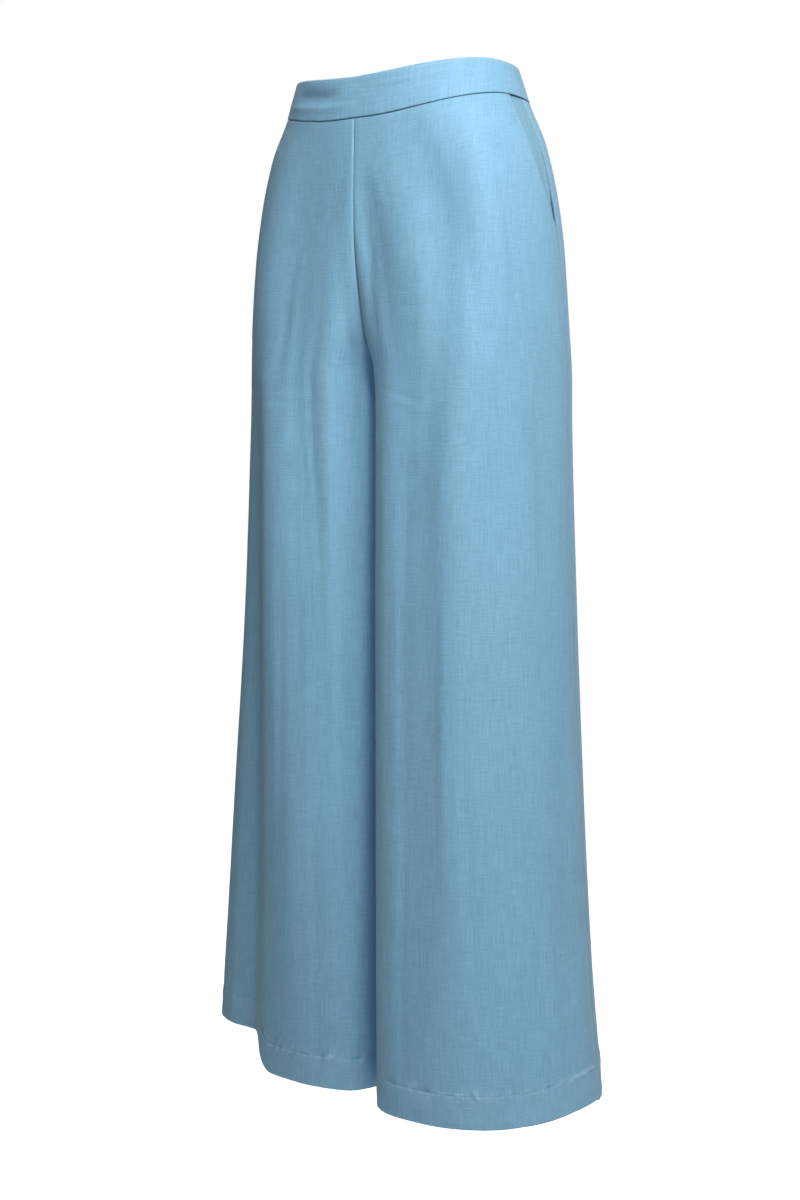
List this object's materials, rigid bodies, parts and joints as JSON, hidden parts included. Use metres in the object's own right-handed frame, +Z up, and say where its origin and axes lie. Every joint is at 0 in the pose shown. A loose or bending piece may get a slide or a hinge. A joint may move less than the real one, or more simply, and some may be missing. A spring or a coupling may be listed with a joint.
{
  "type": "palazzo trousers",
  "caption": "Wide-leg palazzo trousers holding their worn shape, hollow and empty, with a shaped waistband, slant side pockets, deep stitched hems and a concealed zip at the back.",
  "frame": {"origin": "middle of the waist, level with the top of the waistband at the side seams", "axes": "+Z up to the waist, +X to the wearer's left, the front faces -Y"},
  "size_m": [0.4828, 0.2293, 1.063],
  "materials": {
    "trouser_cloth": "light blue linen-look plain weave with a soft satin sheen",
    "waistband_cloth": "the same light blue cloth, interfaced and pressed",
    "facing_cloth": "the same cloth in the shade of the pocket opening",
    "pocket_lining": "thin matte lining",
    "zip_metal": "light blue enamel on die-cast metal"
  },
  "bodies": {
    "trousers": {"front_left": "trouser_cloth", "front_right": "trouser_cloth", "back_left": "trouser_cloth", "back_right": "trouser_cloth", "waistband_front": "waistband_cloth", "waistband_back_left": "waistband_cloth", "waistband_back_right": "waistband_cloth", "pocket_facing_left": "facing_cloth", "pocket_facing_right": "facing_cloth", "pocket_bag_left": "pocket_lining", "pocket_bag_right": "pocket_lining", "zip_slider": "zip_metal"},
    "pull": {"zip_pull": "zip_metal"}
  },
  "joints": [
    {"name": "zip_pull_hinge", "type": "hinge", "parent": "trousers", "child": "pull", "pos_m": [0, 0.09499, -0.00123], "axis": [1, 0, 0], "range_deg": [0, 150]}
  ]
}
